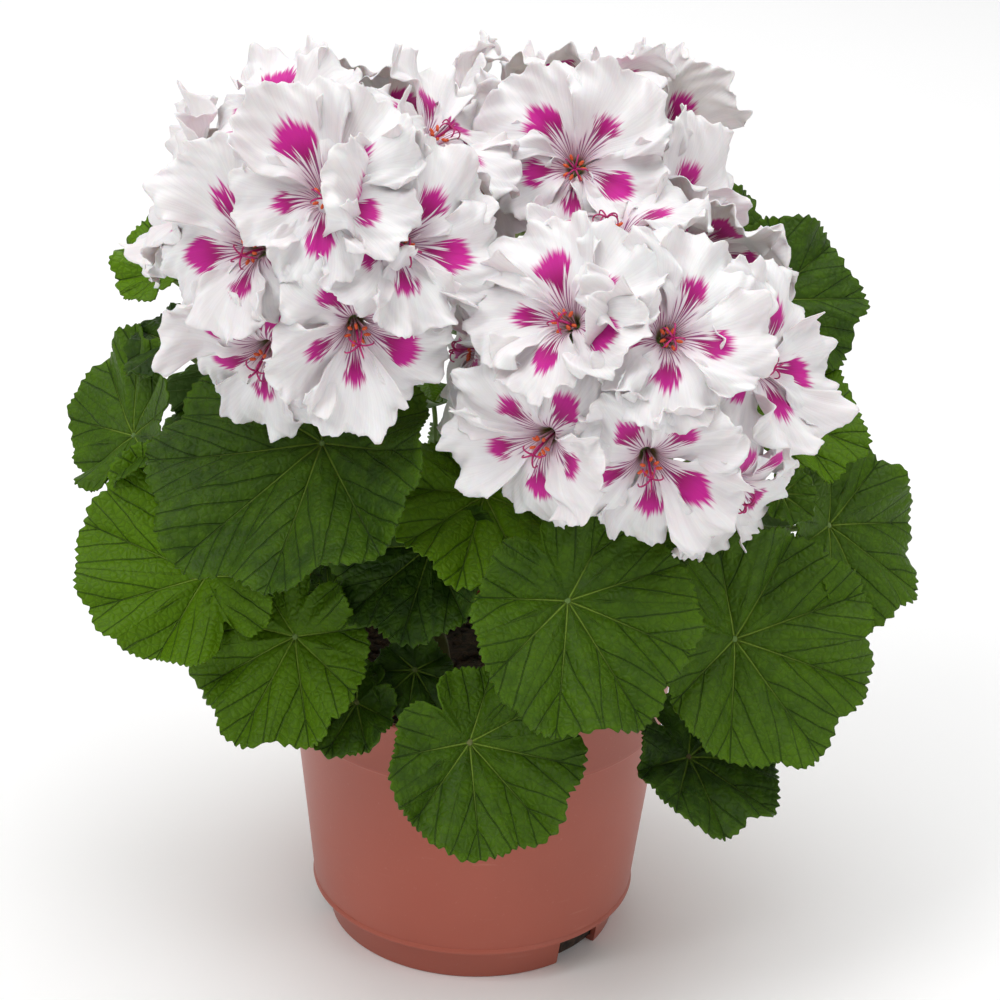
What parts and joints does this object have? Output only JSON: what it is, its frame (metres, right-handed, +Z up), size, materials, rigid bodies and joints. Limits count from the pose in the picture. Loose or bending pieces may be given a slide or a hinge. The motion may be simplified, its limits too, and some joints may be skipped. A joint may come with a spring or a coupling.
{
  "type": "potted geranium",
  "caption": "Bushy regal geranium in full flower, standing in a thin round plastic nursery pot filled with soil.",
  "frame": {"origin": "centre of the pot's flat underside", "axes": "+Z up through the middle of the pot; -Y towards the side with the fullest flowers (the front); +X to the right seen from the front"},
  "size_m": [0.277, 0.2282, 0.2981],
  "materials": {
    "pot_plastic": "satin moulded plastic, terracotta coloured",
    "soil": "crumbly peat",
    "stem": "softly hairy green stem, brown near the base",
    "flower_stalk": "softly hairy green stalk",
    "leaf": "matt, softly hairy, with paler veins",
    "petal": "matt satin, white with magenta blotches and veins"
  },
  "bodies": {
    "root": {"pot": "pot_plastic", "stem_left": "stem", "stem_back": "stem", "stem_right": "stem", "soil": "soil", "flower_stalk_left": "flower_stalk", "flower_stalk_back": "flower_stalk", "flower_stalk_right": "flower_stalk", "floret_left_1": "petal", "floret_left_2": "petal", "floret_left_3": "petal", "floret_left_4": "petal", "floret_left_5": "petal", "floret_left_6": "petal", "floret_left_7": "petal", "floret_left_8": "petal", "floret_left_9": "petal", "floret_left_10": "petal", "floret_back_1": "petal", "floret_back_2": "petal", "floret_back_3": "petal", "floret_back_4": "petal", "floret_back_5": "petal", "floret_back_6": "petal", "floret_back_7": "petal", "floret_right_1": "petal", "floret_right_2": "petal", "floret_right_3": "petal", "floret_right_4": "petal", "floret_right_5": "petal", "floret_right_6": "petal", "floret_right_7": "petal", "floret_right_8": "petal", "floret_right_9": "petal", "leaf_front_left": "leaf", "leaf_low_left": "leaf", "leaf_far_left": "leaf", "leaf_upper_left": "leaf", "leaf_curled_left": "leaf", "leaf_bottom_left": "leaf", "leaf_rim_left": "leaf", "leaf_rim_centre": "leaf", "leaf_mid_left": "leaf", "leaf_under_head": "leaf", "leaf_front_centre": "leaf", "leaf_pot_front": "leaf", "leaf_right_big": "leaf", "leaf_right_outer": "leaf", "leaf_right_low": "leaf", "leaf_right_small": "leaf", "leaf_right_light": "leaf", "leaf_upper_right": "leaf", "leaf_top_right": "leaf", "leaf_back_left_high": "leaf", "leaf_back_left_low": "leaf", "leaf_back_high": "leaf", "leaf_back_low": "leaf", "leaf_back_right_high": "leaf", "leaf_back_right_low": "leaf", "leaf_side_left_low": "leaf"}
  },
  "joints": []
}
